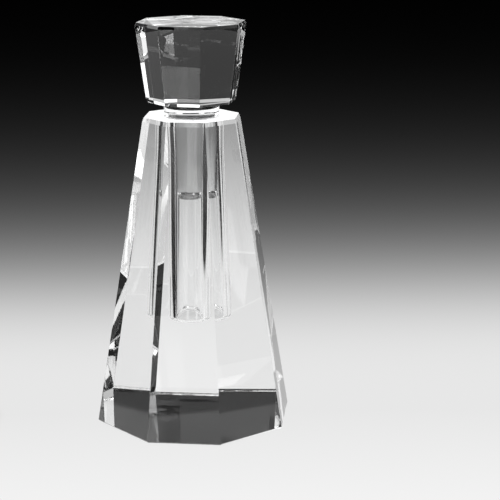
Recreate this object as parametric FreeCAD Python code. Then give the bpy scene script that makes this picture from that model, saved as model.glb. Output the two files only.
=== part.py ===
import FreeCAD, Part
import math
import os

# A stoppered bottle cut from clear crystal. All sizes are in millimetres.
# The origin is at the centre of the base and +Z points up through the stopper. The body has
# four square flats, facing +X, +Y, -X and -Y, and four diagonal flats between them. The square
# flats are evenly set, and at the foot the diagonal ones differ by a few millimetres.

# Driving dimensions: heights above the table
TOTAL_HEIGHT = 250.0
BODY_HEIGHT = 192.6
COLLAR_HEIGHT = 8.9
WELL_FLOOR = 65.0
SOCKET_DEPTH = 20.0
PLUG_LENGTH = 50.5

# Driving dimensions: distances from the axis to the eight flats, counted from the +X flat
BODY_FOOT = (58.2, 58.7, 58.2, 60.6, 58.2, 56.3, 58.2, 58.2)
BODY_TOP = (28.85,) * 8
HEAD_TOP = (31.8,) * 8
HEAD_BOTTOM = (25.95,) * 8

# Driving dimensions: round forms
WELL_RADIUS = 13.2
WELL_CORNER_RADIUS = 2.6
SOCKET_MOUTH_RADIUS = 14.2
COLLAR_RADIUS = 17.1

# Bevels, as (height, width) on the eight-sided forms and one size on the round ones
BASE_BEVEL = (0.9, 0.9)
SHOULDER_BEVEL = (2.6, 1.0)
HEAD_LOWER_BEVEL = (2.0, 0.6)
HEAD_UPPER_BEVEL = (1.8, 0.8)
MOUTH_BEVEL = 0.6
COLLAR_BEVEL = 0.3
PLUG_BEVEL = 0.6

# Fits
PLUG_CLEARANCE = 0.06   # radial gap all round the plug in its conical socket
SEAT_GAP = 0.1          # gap under the collar, because the cone seats first
STOPPER_TURN = -5.1     # degrees that the seated stopper stands turned from the body's flats

SIDES = 8
VERTICAL = FreeCAD.Vector(0, 0, 1)
CENTRE = FreeCAD.Vector(0, 0, 0)


def octagon(flats, height, turn):
    """Corner points of a level octagon whose flats stand at these distances from the axis."""
    points = []
    for side, distance in enumerate(flats):
        angle = math.radians(turn) + side * 2 * math.pi / SIDES
        outward = FreeCAD.Vector(math.cos(angle), math.sin(angle), 0)
        along = FreeCAD.Vector(-math.sin(angle), math.cos(angle), 0)
        following = flats[(side + 1) % SIDES]
        reach = math.sqrt(2) * following - distance
        points.append(outward * distance + along * reach + VERTICAL * height)
    return points


def moved_in(flats, inset):
    return tuple(distance - inset for distance in flats)


def flat_face(points):
    return Part.Face(Part.makePolygon(points + points[:1]))


def faceted_solid(levels, turn=0.0):
    """Closed solid through level octagons, given as (height, distances of flats) from below."""
    rings = [octagon(flats, height, turn) for height, flats in levels]
    faces = [flat_face(rings[0]), flat_face(rings[-1])]
    for lower, upper in zip(rings, rings[1:]):
        for side in range(SIDES):
            after = (side + 1) % SIDES
            faces.append(flat_face([lower[side], lower[after], upper[after], upper[side]]))
    return Part.makeSolid(Part.makeShell(faces))


def turned_solid(edges):
    """Solid of revolution about Z from the edges of a closed outline in the XZ plane."""
    outline = Part.Face(Part.Wire(edges))
    return outline.revolve(CENTRE, VERTICAL, 360)


def outline_lines(points):
    """Straight edges through (radius, height) points."""
    vectors = [FreeCAD.Vector(radius, 0, height) for radius, height in points]
    return [Part.makeLine(start, end) for start, end in zip(vectors, vectors[1:])]


def socket_radius(height):
    """Radius of the conical socket at a height, its taper carried on below the socket too."""
    rise = height - (BODY_HEIGHT - SOCKET_DEPTH)
    return WELL_RADIUS + (SOCKET_MOUTH_RADIUS - WELL_RADIUS) * rise / SOCKET_DEPTH


def make_well():
    """The space drilled out of the body: rounded floor, straight bore, conical socket, mouth."""
    above = BODY_HEIGHT + 5
    corner_centre = WELL_RADIUS - WELL_CORNER_RADIUS
    corner_top = WELL_FLOOR + WELL_CORNER_RADIUS
    offset = WELL_CORNER_RADIUS * math.sqrt(0.5)
    corner = Part.Arc(
        FreeCAD.Vector(corner_centre, 0, WELL_FLOOR),
        FreeCAD.Vector(corner_centre + offset, 0, corner_top - offset),
        FreeCAD.Vector(WELL_RADIUS, 0, corner_top),
    )
    floor = outline_lines([(0, WELL_FLOOR), (corner_centre, WELL_FLOOR)])
    wall = outline_lines([
        (WELL_RADIUS, corner_top),
        (WELL_RADIUS, BODY_HEIGHT - SOCKET_DEPTH),
        (socket_radius(BODY_HEIGHT - MOUTH_BEVEL), BODY_HEIGHT - MOUTH_BEVEL),
        (SOCKET_MOUTH_RADIUS + MOUTH_BEVEL, BODY_HEIGHT),
        (SOCKET_MOUTH_RADIUS + MOUTH_BEVEL, above),
        (0, above),
        (0, WELL_FLOOR),
    ])
    return turned_solid(floor + [corner.toShape()] + wall)


def make_bottle_body():
    bevel_height, bevel_inset = BASE_BEVEL
    shoulder_height, shoulder_inset = SHOULDER_BEVEL
    run = BODY_HEIGHT - shoulder_height
    part_way = bevel_height / run
    above_bevel = tuple(
        foot + (top - foot) * part_way
        for foot, top in zip(BODY_FOOT, BODY_TOP)
    )
    block = faceted_solid([
        (0, moved_in(BODY_FOOT, bevel_inset)),
        (bevel_height, above_bevel),
        (run, BODY_TOP),
        (BODY_HEIGHT, moved_in(BODY_TOP, shoulder_inset)),
    ])
    return block.cut(make_well())


def make_stopper_head():
    lower_height, lower_inset = HEAD_LOWER_BEVEL
    upper_height, upper_inset = HEAD_UPPER_BEVEL
    underside = BODY_HEIGHT + SEAT_GAP + COLLAR_HEIGHT
    return faceted_solid([
        (underside, moved_in(HEAD_BOTTOM, lower_inset)),
        (underside + lower_height, HEAD_BOTTOM),
        (TOTAL_HEIGHT - upper_height, HEAD_TOP),
        (TOTAL_HEIGHT, moved_in(HEAD_TOP, upper_inset)),
    ], STOPPER_TURN)


def make_stopper_collar():
    underside = BODY_HEIGHT + SEAT_GAP
    top = underside + COLLAR_HEIGHT
    return turned_solid(outline_lines([
        (0, underside),
        (COLLAR_RADIUS - COLLAR_BEVEL, underside),
        (COLLAR_RADIUS, underside + COLLAR_BEVEL),
        (COLLAR_RADIUS, top),
        (0, top),
        (0, underside),
    ]))


def make_stopper_plug():
    """Cone with the socket's own taper, so the gap round it is even while it is seated."""
    top = BODY_HEIGHT + SEAT_GAP
    tip = BODY_HEIGHT - PLUG_LENGTH
    tip_radius = socket_radius(tip) - PLUG_CLEARANCE
    bevel_radius = socket_radius(tip + PLUG_BEVEL) - PLUG_CLEARANCE
    top_radius = socket_radius(top) - PLUG_CLEARANCE
    return turned_solid(outline_lines([
        (0, tip),
        (tip_radius - PLUG_BEVEL, tip),
        (bevel_radius, tip + PLUG_BEVEL),
        (top_radius, top),
        (0, top),
        (0, tip),
    ]))


NODES = {
    "bottle_body": make_bottle_body,
    "stopper_head": make_stopper_head,
    "stopper_collar": make_stopper_collar,
    "stopper_plug": make_stopper_plug,
}

os.makedirs("parts", exist_ok=True)
for name, make in NODES.items():
    shape = make()
    if not shape.isValid() or len(shape.Solids) != 1:
        raise ValueError(name + " is not one valid solid")
    shape.exportStep("parts/" + name + ".step")
    print(name, "volume", round(shape.Volume / 1000, 1), "cm3, box", shape.BoundBox)
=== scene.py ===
import math

import bmesh
import bpy
from mathutils import Euler, Matrix, Vector


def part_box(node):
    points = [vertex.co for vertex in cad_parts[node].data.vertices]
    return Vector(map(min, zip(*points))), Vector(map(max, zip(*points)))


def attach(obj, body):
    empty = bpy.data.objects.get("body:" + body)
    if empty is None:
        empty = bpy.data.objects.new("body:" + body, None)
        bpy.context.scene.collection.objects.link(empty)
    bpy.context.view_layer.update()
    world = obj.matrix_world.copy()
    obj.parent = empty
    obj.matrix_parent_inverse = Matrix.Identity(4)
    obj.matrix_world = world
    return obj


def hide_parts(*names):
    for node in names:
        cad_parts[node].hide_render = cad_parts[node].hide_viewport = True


# A stoppered octagonal crystal bottle on a pale table. Sizes are in metres, in the frame's axes:
# the origin is at the centre of the base and +Z points up through the stopper.

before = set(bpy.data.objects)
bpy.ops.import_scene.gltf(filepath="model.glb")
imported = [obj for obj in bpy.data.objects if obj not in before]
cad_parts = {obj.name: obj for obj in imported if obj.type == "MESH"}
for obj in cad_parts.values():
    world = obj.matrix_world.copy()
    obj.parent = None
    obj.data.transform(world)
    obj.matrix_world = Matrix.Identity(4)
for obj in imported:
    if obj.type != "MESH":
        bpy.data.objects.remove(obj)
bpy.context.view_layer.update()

MM = 0.001
SIDES = 8
STOPPER_TURN = math.radians(-5.1)

# Heights and widths that the frame's boxes give
body_low, body_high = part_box("bottle_body")
head_low, head_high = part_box("stopper_head")
collar_low, collar_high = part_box("stopper_collar")
plug_low, plug_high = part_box("stopper_plug")
BODY_TOP = body_high.z
COLLAR_RADIUS = collar_high.x
PLUG_TOP_RADIUS = plug_high.x

# Distances from the axis to the eight flats, counted from the +X flat, at the foot and the top
BODY_FOOT = Vector((58.2, 58.7, 58.2, 60.6, 58.2, 56.3, 58.2, 58.2)) * MM
EVEN = Vector((1,) * SIDES)
BODY_TOP_FLATS = 28.85 * MM * EVEN
HEAD_BOTTOM = 25.95 * MM * EVEN
HEAD_TOP = 31.8 * MM * EVEN

# Round forms
WELL_RADIUS = 13.2 * MM
WELL_FLOOR = 65 * MM
WELL_CORNER_RADIUS = 2.6 * MM
SOCKET_DEPTH = 20 * MM
SOCKET_MOUTH_RADIUS = 14.2 * MM

# Bevels, as (height, width) on the eight-sided forms and one size on the round ones
MOUTH_BEVEL = 0.6 * MM
COLLAR_BEVEL = 0.3 * MM
PLUG_BEVEL = 0.6 * MM
BASE_BEVEL = Vector((0.9, 0.9)) * MM
SHOULDER_BEVEL = Vector((2.6, 1.0)) * MM
HEAD_LOWER_BEVEL = Vector((2.0, 0.6)) * MM
HEAD_UPPER_BEVEL = Vector((1.8, 0.8)) * MM

# The polished arris between two flats, and how finely the rings are cut
ARRIS_RADIUS = 0.25 * MM
ARRIS_STEPS = 4
FLAT_STEPS = 28
CORNER_STEPS = 32
SHARP_ANGLE = math.radians(4)

CRYSTAL_IOR = 1.53
STREAK_STRETCH = (6, 6, 0.25)


# ---------------------------------------------------------------- mesh work

def octagon(flats, turn=0.0):
    """Points round a level octagon with flats at these distances, its corners a little rounded."""
    distances = [flat - ARRIS_RADIUS for flat in flats]
    arcs = []
    for side, distance in enumerate(distances):
        facing = turn + side * 2 * math.pi / SIDES
        reach = math.sqrt(2) * distances[(side + 1) % SIDES] - distance
        corner = Vector((distance, reach))
        corner.rotate(Matrix.Rotation(facing, 2))
        arc = []
        for step in range(ARRIS_STEPS + 1):
            angle = facing + 2 * math.pi / SIDES * step / ARRIS_STEPS
            arc.append(corner + ARRIS_RADIUS * Vector((math.cos(angle), math.sin(angle))))
        arcs.append(arc)
    points = []
    for arc, following in zip(arcs, arcs[1:] + arcs[:1]):
        points += arc
        for step in range(1, FLAT_STEPS):
            points.append(arc[-1].lerp(following[0], step / FLAT_STEPS))
    return points


def circle(radius, turn=0.0):
    """Points round a level circle, in the same directions as the points of the octagons."""
    return [point.normalized() * radius for point in octagon(HEAD_BOTTOM, turn)]


def lathe(name, rings, bonds=()):
    """Closed mesh through level rings given as (height, points), capped to the axis at both ends.

    bonds holds the numbers of the bands, counted from the first cap, that are glued to another
    piece: they take the piece's second material.
    """
    mesh = bpy.data.meshes.new(name)
    bm = bmesh.new()
    loops = [[bm.verts.new((p.x, p.y, height)) for p in points] for height, points in rings]
    count = len(loops[0])
    for end, loop in ((0, loops[0]), (len(loops), loops[-1])):
        apex = bm.verts.new((0, 0, loop[0].co.z))
        for i in range(count):
            face = bm.faces.new((apex, loop[i], loop[(i + 1) % count]))
            face.material_index = 1 if end in bonds else 0
    for band, (lower, upper) in enumerate(zip(loops, loops[1:]), start=1):
        for i in range(count):
            after = (i + 1) % count
            face = bm.faces.new((lower[i], lower[after], upper[after], upper[i]))
            face.material_index = 1 if band in bonds else 0
    bmesh.ops.recalc_face_normals(bm, faces=bm.faces)
    for face in bm.faces:
        face.smooth = True
    for edge in bm.edges:
        edge.smooth = edge.calc_face_angle() < SHARP_ANGLE
    bm.to_mesh(mesh)
    bm.free()
    piece = bpy.data.objects.new(name, mesh)
    bpy.context.scene.collection.objects.link(piece)
    return piece


# ---------------------------------------------------------------- pieces

def socket_radius(height):
    """Radius of the conical socket at a height inside it."""
    rise = height - (BODY_TOP - SOCKET_DEPTH)
    return WELL_RADIUS + (SOCKET_MOUTH_RADIUS - WELL_RADIUS) * rise / SOCKET_DEPTH


def make_body():
    bevel_height, bevel_inset = BASE_BEVEL
    shoulder_height, shoulder_inset = SHOULDER_BEVEL
    run = BODY_TOP - shoulder_height
    rings = [
        (0, octagon(BODY_FOOT - bevel_inset * EVEN)),
        (bevel_height, octagon(BODY_FOOT.lerp(BODY_TOP_FLATS, bevel_height / run))),
        (run, octagon(BODY_TOP_FLATS)),
        (BODY_TOP, octagon(BODY_TOP_FLATS - shoulder_inset * EVEN)),
        (BODY_TOP, circle(SOCKET_MOUTH_RADIUS + MOUTH_BEVEL)),
        (BODY_TOP - MOUTH_BEVEL, circle(socket_radius(BODY_TOP - MOUTH_BEVEL))),
        (BODY_TOP - SOCKET_DEPTH, circle(WELL_RADIUS)),
    ]
    for step in range(CORNER_STEPS + 1):
        angle = math.pi / 2 * step / CORNER_STEPS
        radius = WELL_RADIUS - WELL_CORNER_RADIUS * (1 - math.cos(angle))
        height = WELL_FLOOR + WELL_CORNER_RADIUS * (1 - math.sin(angle))
        rings.append((height, circle(radius)))
    return lathe("cut_body", rings)


def make_head():
    lower_height, lower_inset = HEAD_LOWER_BEVEL
    upper_height, upper_inset = HEAD_UPPER_BEVEL
    rings = [
        (head_low.z, circle(COLLAR_RADIUS, STOPPER_TURN)),
        (head_low.z, octagon(HEAD_BOTTOM - lower_inset * EVEN, STOPPER_TURN)),
        (head_low.z + lower_height, octagon(HEAD_BOTTOM, STOPPER_TURN)),
        (head_high.z - upper_height, octagon(HEAD_TOP, STOPPER_TURN)),
        (head_high.z, octagon(HEAD_TOP - upper_inset * EVEN, STOPPER_TURN)),
    ]
    return lathe("cut_head", rings, bonds=(0,))


def make_collar():
    rings = [
        (collar_low.z, circle(PLUG_TOP_RADIUS, STOPPER_TURN)),
        (collar_low.z, circle(COLLAR_RADIUS - COLLAR_BEVEL, STOPPER_TURN)),
        (collar_low.z + COLLAR_BEVEL, circle(COLLAR_RADIUS, STOPPER_TURN)),
        (collar_high.z, circle(COLLAR_RADIUS, STOPPER_TURN)),
    ]
    return lathe("turned_collar", rings, bonds=(0, len(rings)))


def make_plug():
    clearance = socket_radius(plug_high.z) - PLUG_TOP_RADIUS
    tip_radius = socket_radius(plug_low.z) - clearance
    bevel_radius = socket_radius(plug_low.z + PLUG_BEVEL) - clearance
    rings = [
        (plug_high.z, circle(PLUG_TOP_RADIUS, STOPPER_TURN)),
        (plug_low.z + PLUG_BEVEL, circle(bevel_radius, STOPPER_TURN)),
        (plug_low.z, circle(tip_radius - PLUG_BEVEL, STOPPER_TURN)),
    ]
    return lathe("ground_plug", rings, bonds=(0,))


# ---------------------------------------------------------------- materials

class Glass:
    """Builds one clear crystal material: a glass shader with its roughness and surface relief."""

    def __init__(self, name):
        self.material = bpy.data.materials.new(name)
        self.material.use_nodes = True
        self.nodes = self.material.node_tree.nodes
        self.links = self.material.node_tree.links
        self.shader = self.nodes["Principled BSDF"]
        self.shader.inputs["Transmission Weight"].default_value = 1
        self.shader.inputs["IOR"].default_value = CRYSTAL_IOR
        self.place = self.nodes.new("ShaderNodeTexCoord").outputs["Object"]

    def noise(self, scale, detail=2.0, stretch=(1, 1, 1)):
        """Cloudy pattern in the piece's own space, in cycles per metre."""
        spread = self.nodes.new("ShaderNodeMapping")
        spread.inputs["Scale"].default_value = stretch
        self.links.new(self.place, spread.inputs["Vector"])
        pattern = self.nodes.new("ShaderNodeTexNoise")
        pattern.inputs["Scale"].default_value = scale
        pattern.inputs["Detail"].default_value = detail
        self.links.new(spread.outputs[0], pattern.inputs["Vector"])
        return pattern.outputs["Fac"]

    def rings(self, scale, unevenness):
        """Fine level rings, like the marks of turning or grinding."""
        pattern = self.nodes.new("ShaderNodeTexWave")
        pattern.bands_direction = "Z"
        pattern.inputs["Scale"].default_value = scale
        pattern.inputs["Distortion"].default_value = unevenness
        pattern.inputs["Detail"].default_value = 3
        self.links.new(self.place, pattern.inputs["Vector"])
        return pattern.outputs["Fac"]

    def fade(self, value, start, end, low, high):
        """A value mapped from start..end to low..high."""
        ramp = self.nodes.new("ShaderNodeMapRange")
        ramp.inputs["From Min"].default_value = start
        ramp.inputs["From Max"].default_value = end
        ramp.inputs["To Min"].default_value = low
        ramp.inputs["To Max"].default_value = high
        self.links.new(value, ramp.inputs["Value"])
        return ramp.outputs[0]

    def height(self):
        split = self.nodes.new("ShaderNodeSeparateXYZ")
        self.links.new(self.place, split.inputs[0])
        return split.outputs["Z"]

    def times(self, first, second):
        product = self.nodes.new("ShaderNodeMath")
        product.operation = "MULTIPLY"
        self.links.new(first, product.inputs[0])
        self.links.new(second, product.inputs[1])
        return product.outputs[0]

    def tint(self, pattern, dim, clear):
        """Base colour between two nearly white tones, following a pattern."""
        mix = self.nodes.new("ShaderNodeMix")
        mix.data_type = "RGBA"
        mix.inputs["A"].default_value = dim
        mix.inputs["B"].default_value = clear
        self.links.new(pattern, mix.inputs["Factor"])
        self.links.new(mix.outputs["Result"], self.shader.inputs["Base Color"])

    def roughness(self, value):
        self.links.new(value, self.shader.inputs["Roughness"])

    def relief(self, value, depth):
        """Surface relief of this depth in metres, added to any set before."""
        bump = self.nodes.new("ShaderNodeBump")
        bump.inputs["Distance"].default_value = depth
        self.links.new(value, bump.inputs["Height"])
        before = self.shader.inputs["Normal"]
        if before.is_linked:
            self.links.new(before.links[0].from_socket, bump.inputs["Normal"])
        self.links.new(bump.outputs[0], before)


def body_crystal():
    """Cut and polished by hand: slow waves in the flats, faint streaks, a rubbed foot."""
    glass = Glass("cut_crystal_body")
    streaks = glass.noise(60, 4, STREAK_STRETCH)
    glass.tint(streaks, (0.985, 0.99, 0.99, 1), (1, 1, 1, 1))
    glass.relief(glass.noise(25, 1), 6e-6)
    glass.relief(streaks, 1.5e-6)
    above_table = glass.fade(glass.height(), 0, 0.0001, 0, 1)
    near_foot = glass.fade(glass.height(), 0.0008, 0.0014, 1, 0)
    rubbed = glass.times(above_table, near_foot)
    wear = glass.fade(glass.noise(900, 3), 0.4, 0.7, 0.0, 0.25)
    glass.roughness(glass.times(rubbed, wear))
    return glass.material


def head_crystal():
    """Cut like the body, with the faint marks that fingers leave on a stopper."""
    glass = Glass("cut_crystal_head")
    glass.tint(glass.noise(60, 4, STREAK_STRETCH), (0.985, 0.99, 0.99, 1), (1, 1, 1, 1))
    glass.relief(glass.noise(30, 1), 6e-6)
    glass.roughness(glass.fade(glass.noise(70, 4), 0.6, 0.8, 0.0, 0.03))
    return glass.material


def collar_crystal():
    """Turned on a wheel: fine level rings left in the polish."""
    glass = Glass("turned_crystal")
    turning = glass.rings(420, 0.4)
    glass.tint(turning, (0.98, 0.985, 0.985, 1), (1, 1, 1, 1))
    glass.relief(turning, 1.5e-6)
    glass.roughness(glass.fade(turning, 0, 1, 0.0, 0.02))
    return glass.material


def plug_crystal():
    """Ground to fit: close grinding rings, and a slight haze that comes and goes."""
    glass = Glass("ground_crystal")
    grinding = glass.rings(600, 1.5)
    glass.tint(grinding, (0.96, 0.965, 0.965, 1), (0.995, 0.995, 0.995, 1))
    glass.relief(grinding, 1.5e-6)
    glass.roughness(glass.fade(glass.noise(250, 4), 0.3, 0.7, 0.02, 0.08))
    return glass.material


def bond():
    """The clear glue line, which light crosses as if the two pieces were one."""
    material = bpy.data.materials.new("clear_bond")
    material.use_nodes = True
    nodes, links = material.node_tree.nodes, material.node_tree.links
    nodes.clear()
    output = nodes.new("ShaderNodeOutputMaterial")
    clear = nodes.new("ShaderNodeBsdfTransparent")
    links.new(clear.outputs[0], output.inputs["Surface"])
    return material


# ---------------------------------------------------------------- the object

glue = bond()
for piece, look, node, body, slot in (
    (make_body(), body_crystal(), "bottle_body", "bottle", "cut_crystal"),
    (make_head(), head_crystal(), "stopper_head", "stopper", "cut_crystal"),
    (make_collar(), collar_crystal(), "stopper_collar", "stopper", "turned_crystal"),
    (make_plug(), plug_crystal(), "stopper_plug", "stopper", "ground_crystal"),
):
    piece.data.materials.append(look)
    piece.data.materials.append(glue)
    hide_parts(node)
    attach(piece, body)


# ---------------------------------------------------------------- camera

CAMERA_DISTANCE = 1.0333
CAMERA_HEIGHT = 0.3653
CAMERA_AZIMUTH = math.radians(7.49)
CAMERA_PAN = math.radians(1.986)
CAMERA_PITCH = math.radians(-14.029)
CAMERA_LENS = 122.5

camera = bpy.data.objects.new("camera", bpy.data.cameras.new("camera"))
camera.data.sensor_width = 36
camera.data.lens = CAMERA_LENS
camera.location = (
    CAMERA_DISTANCE * math.sin(CAMERA_AZIMUTH),
    -CAMERA_DISTANCE * math.cos(CAMERA_AZIMUTH),
    CAMERA_HEIGHT,
)
camera.rotation_euler = Euler((math.pi / 2 + CAMERA_PITCH, 0, CAMERA_AZIMUTH - CAMERA_PAN))
bpy.context.scene.collection.objects.link(camera)
bpy.context.scene.camera = camera


# ---------------------------------------------------------------- table with painted glow, light and air

FLOOR_GAP = 0.1 * MM
FLOOR_SIZE = 8.0
NEAR_PAINTED_GLOW = 0.8             # painted glow of the table at the object: the table gives off light
HALF_DISTANCE = 0.325       # behind the object, where the painted glow has fallen to half
FALL_POWER = 3.5            # how steeply it falls there
FRONT_RISE = 0.75           # how much brighter the painted glow gets for each metre in front of the object
FRONT_EDGE = (0.5, 0.85)    # where the painted glow fades out in front, in metres
PAINTED_POOL_CENTRE = 0.038         # of the painted pool of light on the table, a strip to the right of the object
PAINTED_POOL_HALF_WIDTH = 0.158
PAINTED_POOL_SPREAD = 0.25          # how much wider it gets for each metre behind the object
PAINTED_POOL_EDGE = 1.2             # where its edge has faded out, in half-widths
PAINTED_GLOW_OUTSIDE = 0.02         # painted glow left outside the painted pool and past the front edge


# The table top is an emission shader: it gives off painted light instead of receiving it. The glow
# is pale round the object, falls to black behind it, grows brighter in front, and holds a painted
# pool of light. It casts and takes no shadow.
def painted_glow_floor_material():
    material = bpy.data.materials.new("table_top_painted_glow")
    material.use_nodes = True
    nodes, links = material.node_tree.nodes, material.node_tree.links
    nodes.clear()
    output = nodes.new("ShaderNodeOutputMaterial")
    glow = nodes.new("ShaderNodeEmission")
    place = nodes.new("ShaderNodeTexCoord")
    split = nodes.new("ShaderNodeSeparateXYZ")
    links.new(place.outputs["Object"], split.inputs[0])
    def math_node(operation, first, second):
        node = nodes.new("ShaderNodeMath")
        node.operation = operation
        for socket, value in zip(node.inputs, (first, second)):
            if isinstance(value, (int, float)):
                socket.default_value = value
            else:
                links.new(value, socket)
        return node.outputs[0]

    def fade_out(value, start, end):
        edge = nodes.new("ShaderNodeMapRange")
        edge.interpolation_type = "SMOOTHSTEP"
        edge.inputs["From Min"].default_value = start
        edge.inputs["From Max"].default_value = end
        edge.inputs["To Min"].default_value = 1
        edge.inputs["To Max"].default_value = PAINTED_GLOW_OUTSIDE
        links.new(value, edge.inputs["Value"])
        return edge.outputs[0]

    behind = math_node("MAXIMUM", split.outputs["Y"], 0)
    ahead = math_node("MAXIMUM", math_node("MULTIPLY", split.outputs["Y"], -1), 0)
    fallen = math_node("POWER", math_node("DIVIDE", behind, HALF_DISTANCE), FALL_POWER)
    along = math_node("DIVIDE", NEAR_PAINTED_GLOW, math_node("ADD", fallen, 1))
    rise = math_node("ADD", math_node("MULTIPLY", ahead, FRONT_RISE), 1)
    front = math_node("MULTIPLY", rise, fade_out(ahead, *FRONT_EDGE))
    # painted pool of light: a strip to the right of the object that widens behind it, with painted
    # dark outside it
    width = math_node("ADD", math_node("MULTIPLY", behind, PAINTED_POOL_SPREAD), PAINTED_POOL_HALF_WIDTH)
    offset = math_node("SUBTRACT", split.outputs["X"], PAINTED_POOL_CENTRE)
    aside = math_node("DIVIDE", math_node("ABSOLUTE", offset, 0), width)
    sides = fade_out(aside, 1, PAINTED_POOL_EDGE)
    # painted glow that the table gives off, in place of light that falls on it
    tone = math_node("MULTIPLY", math_node("MULTIPLY", along, front), sides)
    links.new(tone, glow.inputs["Color"])
    links.new(glow.outputs[0], output.inputs["Surface"])
    return material


def make_floor():
    mesh = bpy.data.meshes.new("table_top_painted_glow")
    bm = bmesh.new()
    bmesh.ops.create_grid(bm, x_segments=1, y_segments=1, size=FLOOR_SIZE)
    bm.to_mesh(mesh)
    bm.free()
    floor = bpy.data.objects.new("table_top_painted_glow", mesh)
    floor.location.z = -FLOOR_GAP
    floor.rotation_euler.z = CAMERA_AZIMUTH
    mesh.materials.append(painted_glow_floor_material())
    bpy.context.scene.collection.objects.link(floor)


def make_world():
    world = bpy.data.worlds.new("studio")
    world.use_nodes = True
    nodes, links = world.node_tree.nodes, world.node_tree.links
    backdrop = nodes["Background"]
    place = nodes.new("ShaderNodeTexCoord")
    split = nodes.new("ShaderNodeSeparateXYZ")
    ramp = nodes.new("ShaderNodeValToRGB")
    links.new(place.outputs["Generated"], split.inputs[0])
    links.new(split.outputs["Z"], ramp.inputs[0])
    links.new(ramp.outputs[0], backdrop.inputs["Color"])
    tones = ((0.0, 0.01), (0.07, 0.02), (0.09, 0.55), (0.125, 0.65), (0.15, 1.7), (0.185, 1.7),
             (0.205, 0.03), (0.4, 0.015), (1.0, 0.03))
    stops = ramp.color_ramp.elements
    while len(stops) < len(tones):
        stops.new(0.5)
    for stop, (place_z, tone) in zip(stops, tones):
        stop.position = place_z
        stop.color = (tone, tone, tone, 1)
    bpy.context.scene.world = world


def softbox(name, place, aim, size, strength):
    """Rectangular area light at a place, facing aim, both in the camera's own turn of the frame.

    x runs to the camera's right and y away from it, so every light keeps its place beside the
    camera. The light is seen in reflections and through the crystal, and isn't seen directly.
    """
    light = bpy.data.lights.new(name, "AREA")
    light.shape = "RECTANGLE"
    light.size, light.size_y = size
    light.energy = strength * size[0] * size[1] * math.pi
    holder = bpy.data.objects.new(name, light)
    turned = Matrix.Rotation(CAMERA_AZIMUTH, 3, "Z")
    holder.location = turned @ Vector(place)
    backward = turned @ (Vector(place) - Vector(aim))
    holder.rotation_euler = backward.to_track_quat("Z", "Y").to_euler()
    holder.visible_camera = False
    bpy.context.scene.collection.objects.link(holder)


make_floor()
make_world()
MIDDLE = (0, 0, 0.12)
softbox("left_softbox", (-0.9, 0.1, 0.36), (0, 0.1, 0.22), (1.5, 0.14), 1.3)
softbox("right_softbox", (0.9, 0.1, 0.49), (0, 0.1, 0.22), (1.2, 0.08), 1.6)
softbox("top_left_softbox", (-0.5, 0.25, 1.1), MIDDLE, (0.6, 0.8), 2.0)
softbox("top_right_softbox", (0.6, 0.25, 1.1), MIDDLE, (0.6, 0.8), 2.0)
softbox("front_fill", (0, -1.6, 0.05), (0, 0, 0.05), (2.4, 0.12), 0.9)
softbox("left_card", (-0.24, -0.5, -0.00005), (-0.24, -0.5, 1), (0.16, 0.28), 1.0)
softbox("far_left_card", (-0.74, 0.34, -0.00005), (-0.74, 0.34, 1), (0.3, 0.3), 0.6)
softbox("left_card_low", (-0.24, -0.47, -0.00005), (-0.24, -0.47, 1), (0.16, 0.10), 3.2)
softbox("right_card", (0.55, -0.27, -0.00005), (0.55, -0.27, 1), (0.28, 0.2), 0.7)
softbox("right_card_low", (0.47, -0.27, -0.00005), (0.47, -0.27, 1), (0.10, 0.2), 2.0)
softbox("near_glow", (0.03, 0.08, -0.00005), (0.03, 0.08, 1), (0.3, 0.24), 0.08)
softbox("far_glow", (0.03, 0.42, -0.00005), (0.03, 0.42, 1), (0.5, 0.44), 0.12)

scene = bpy.context.scene
scene.view_settings.view_transform = "Standard"
scene.cycles.max_bounces = 48
scene.cycles.transmission_bounces = 48
scene.cycles.glossy_bounces = 48
scene.cycles.transparent_max_bounces = 48
scene.cycles.use_denoising = True
